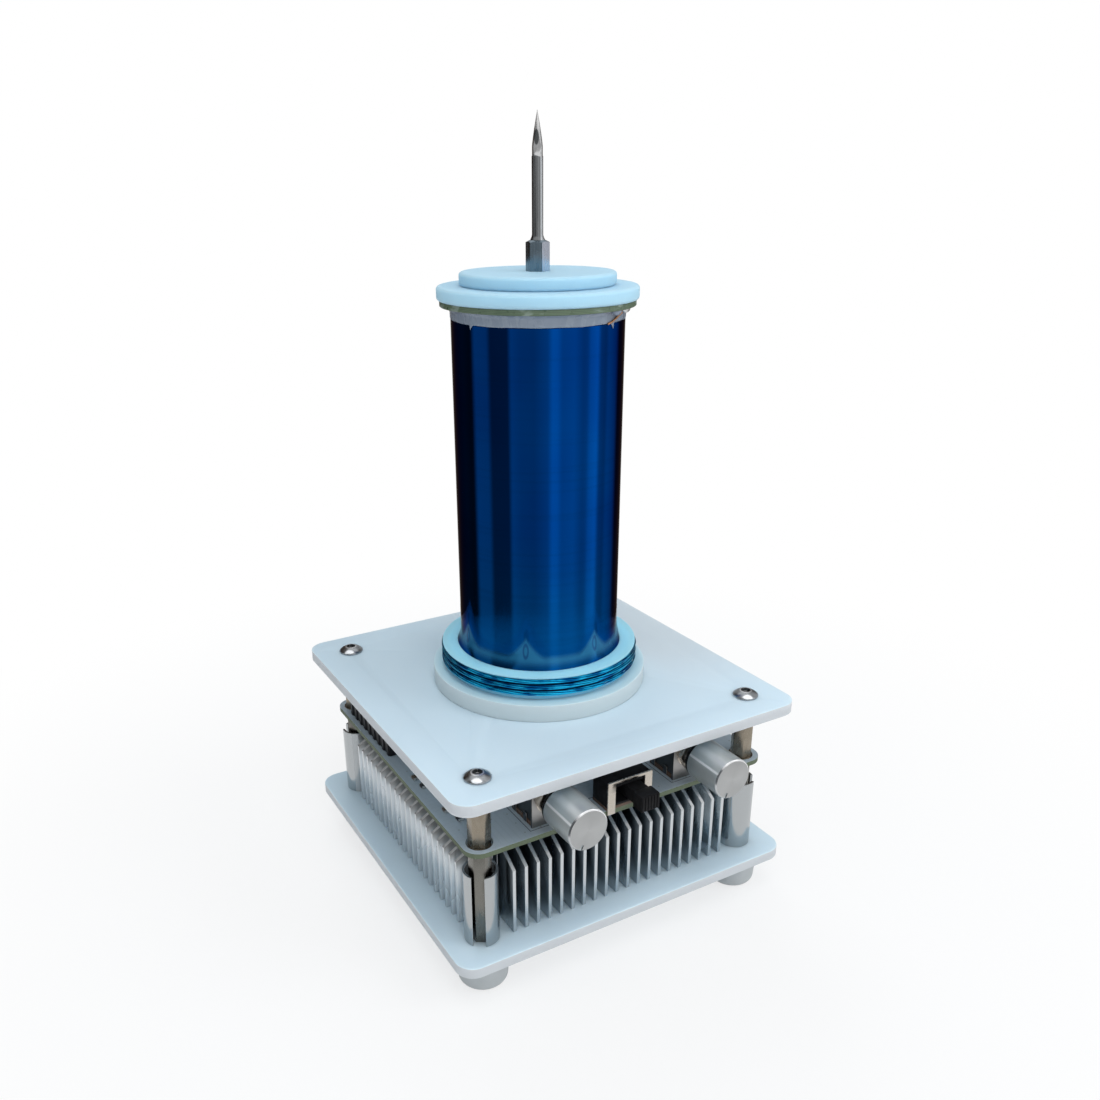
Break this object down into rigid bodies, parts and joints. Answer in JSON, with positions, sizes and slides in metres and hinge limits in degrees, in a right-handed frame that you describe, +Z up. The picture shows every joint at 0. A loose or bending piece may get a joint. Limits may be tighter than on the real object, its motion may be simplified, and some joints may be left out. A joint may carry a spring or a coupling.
{
  "type": "desktop resonant transformer",
  "caption": "Desktop resonant transformer: finned heatsink and driver board between acrylic plates, wound column with primary ring, disc cap and needle electrode.",
  "frame": {"origin": "centre of the plane that the four feet stand on, straight under the column's axis", "axes": "+Z up along the column to the needle, -Y towards the side with the knobs and the switch, +X to the right as seen from that side"},
  "size_m": [0.12, 0.1298, 0.2383],
  "materials": {
    "white_rubber": "smooth white rubber foot, satin",
    "screw_steel": "bright nickelled steel screw",
    "white_acrylic": "polished white acrylic sheet",
    "bare_aluminium": "bare extruded aluminium",
    "nickelled_brass": "nickelled brass hexagon bar",
    "thermal_pad": "grey silicone pad",
    "moulded_epoxy": "black moulded epoxy with tinned leads",
    "white_board": "glass-fibre board with white solder mask and green cut edges",
    "tinned_steel": "tinned sheet steel case",
    "nickel_plate": "nickelled sheet steel",
    "shaft_metal": "turned aluminium shaft",
    "black_plastic": "black moulded plastic",
    "knob_aluminium": "turned and anodised aluminium, fine circular cut",
    "phenolic": "brown pressed phenolic sheet",
    "lever_plastic": "black moulded lever",
    "black_anodised": "black anodised extrusion",
    "can_sleeve": "shrunk dark sleeve, bare aluminium top",
    "film_red": "dipped film block",
    "ceramic_parts": "small ceramic parts with tinned ends",
    "pale_blue_acrylic": "polished pale blue acrylic disc",
    "blue_wire": "solid wire with bright blue insulation",
    "tube_plastic": "extruded plastic tube",
    "lacquered_winding": "deep blue enamelled wire under clear lacquer",
    "copper_wire": "enamelled copper wire",
    "green_board": "glass-fibre board, green cut edge",
    "turned_steel": "turned hexagon steel bar",
    "needle_steel": "drawn steel needle"
  },
  "bodies": {
    "frame": {"rubber_feet": "white_rubber", "foot_screws": "screw_steel", "base_plate": "white_acrylic", "heatsink": "bare_aluminium", "lower_posts": "nickelled_brass", "thermal_pads": "thermal_pad", "power_transistors": "moulded_epoxy", "circuit_board": "white_board", "upper_posts": "nickelled_brass", "left_pot": "tinned_steel", "left_pot_nut": "nickel_plate", "right_pot": "tinned_steel", "right_pot_nut": "nickel_plate", "switch_frame": "nickel_plate", "switch_body": "black_plastic", "switch_base": "phenolic", "side_heatsink": "black_anodised", "regulators": "moulded_epoxy", "storage_capacitors": "can_sleeve", "film_capacitors": "film_red", "driver_chips": "moulded_epoxy", "power_jack": "black_plastic", "power_jack_pin": "nickel_plate", "audio_jack": "black_plastic", "surface_parts": "ceramic_parts", "top_plate": "white_acrylic", "plate_screws": "screw_steel", "primary_disc": "white_acrylic", "primary_ring": "pale_blue_acrylic", "primary_winding": "blue_wire", "primary_leads": "blue_wire", "column_tube": "tube_plastic", "secondary_winding": "lacquered_winding", "column_flare": "lacquered_winding", "secondary_lead": "copper_wire", "top_board": "green_board", "top_lead": "copper_wire", "cap_lower_disc": "pale_blue_acrylic", "cap_upper_disc": "pale_blue_acrylic", "electrode_holder": "turned_steel", "holder_nut": "screw_steel", "needle_electrode": "needle_steel"},
    "left_knob": {"left_shaft": "shaft_metal", "left_knob_core": "black_plastic", "left_knob": "knob_aluminium"},
    "right_knob": {"right_shaft": "shaft_metal", "right_knob_core": "black_plastic", "right_knob": "knob_aluminium"},
    "lever": {"switch_lever": "lever_plastic"}
  },
  "joints": [
    {"name": "left_knob_turn", "type": "hinge", "parent": "frame", "child": "left_knob", "pos_m": [-0.0254, -0.05, 0.0573], "axis": [0, 1, 0], "range_deg": [0, 300]},
    {"name": "right_knob_turn", "type": "hinge", "parent": "frame", "child": "right_knob", "pos_m": [0.0254, -0.05, 0.0573], "axis": [0, 1, 0], "range_deg": [0, 300]},
    {"name": "lever_slide", "type": "slide", "parent": "frame", "child": "lever", "axis": [-1, 0, 0], "range_m": [0, 0.0035]}
  ]
}
